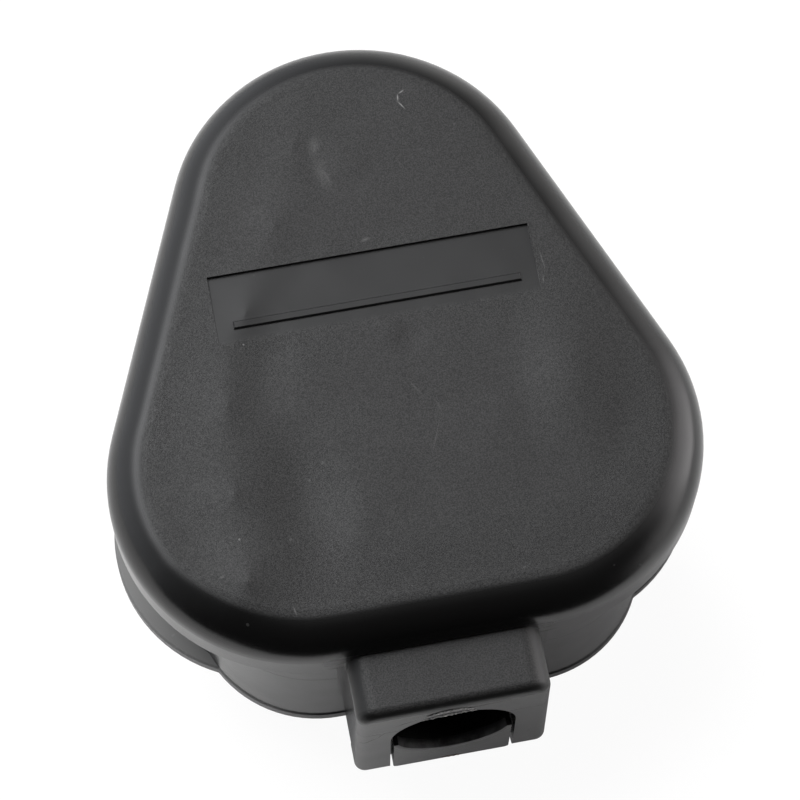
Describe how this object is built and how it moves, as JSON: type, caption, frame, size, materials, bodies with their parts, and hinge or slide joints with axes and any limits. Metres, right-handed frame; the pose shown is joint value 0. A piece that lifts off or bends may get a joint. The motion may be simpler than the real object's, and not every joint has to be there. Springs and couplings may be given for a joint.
{
  "type": "rewireable plug",
  "caption": "Rewireable fused mains plug with a waisted rounded-triangle cover, a cord hood and flat metal pins, two of them sleeved.",
  "frame": {"origin": "middle of the pin pattern, halfway between the earth pin and the line and neutral row, on the engagement face that meets the socket", "axes": "+Z out of the cover's top, pins along -Z, +Y to the earth pin, cord leaves along -Y, live pin at +X"},
  "size_m": [0.0568, 0.0666, 0.0455],
  "materials": {
    "cover_plastic": "fine spark texture, satin rim",
    "base_plastic": "satin",
    "clamp_plastic": "satin",
    "pin_brass": "drawn and tumbled",
    "sleeve_plastic": "satin",
    "clip_metal": "tin plated",
    "screw_steel": "zinc plated",
    "cap_metal": "nickel plated",
    "ceramic": "unglazed ceramic"
  },
  "bodies": {
    "root": {"cover": "cover_plastic", "base": "base_plastic", "cord_clamp": "clamp_plastic", "earth_pin": "pin_brass", "neutral_pin": "pin_brass", "live_pin": "pin_brass", "neutral_sleeve": "sleeve_plastic", "live_sleeve": "sleeve_plastic", "live_terminal": "pin_brass", "cover_insert": "pin_brass", "fuse_clip_inner": "clip_metal", "fuse_clip_outer": "clip_metal", "earth_terminal_screw": "screw_steel", "neutral_terminal_screw": "screw_steel", "live_terminal_screw": "screw_steel", "cord_clamp_screw_left": "screw_steel", "cord_clamp_screw_right": "screw_steel", "cover_screw": "screw_steel", "fuse_body": "ceramic", "fuse_cap_inner": "cap_metal", "fuse_cap_outer": "cap_metal"}
  },
  "joints": []
}
